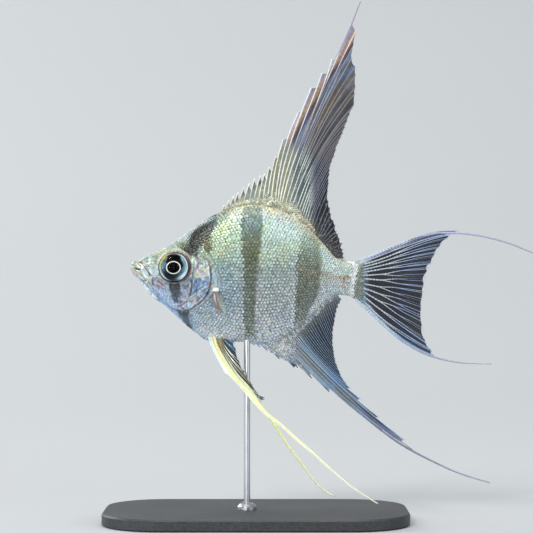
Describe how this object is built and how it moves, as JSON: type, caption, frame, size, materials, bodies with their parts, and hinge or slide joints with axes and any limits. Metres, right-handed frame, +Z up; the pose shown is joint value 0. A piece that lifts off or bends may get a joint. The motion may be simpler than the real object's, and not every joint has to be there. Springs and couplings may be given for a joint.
{
  "type": "freshwater angelfish model",
  "caption": "Life-size display model of a tall, flat freshwater angelfish with long trailing fins, held level over a flat base by a short rod.",
  "frame": {"origin": "centre of the stand base's underside", "axes": "+Z up, the fish's head points to -X and its tail to +X, its left side faces -Y"},
  "size_m": [0.1113, 0.044, 0.1302],
  "materials": {
    "skin": "silvery painted scales under clear lacquer",
    "fins": "thin smoky web over pale rays",
    "belly_fins": "cream yellow, glossy",
    "breast_fins": "almost clear web over pale rays",
    "eye": "wet gloss, dark iris with a pale ring round a black pupil",
    "stand_base": "matt charcoal powder coat on steel",
    "stand_rod": "brushed"
  },
  "bodies": {
    "root": {"head": "skin", "jaw_lower": "skin", "gill_cover_left": "skin", "gill_cover_right": "skin", "trunk": "skin", "tail_stem": "skin", "eye_left": "eye", "eye_right": "eye", "fin_dorsal": "fins", "fin_anal": "fins", "fin_tail": "fins", "tail_thread_upper": "fins", "tail_thread_lower": "fins", "fin_pectoral_left": "breast_fins", "fin_pectoral_right": "breast_fins", "fin_pelvic_left": "belly_fins", "fin_pelvic_right": "belly_fins", "stand_base": "stand_base", "stand_rod": "stand_rod"}
  },
  "joints": []
}
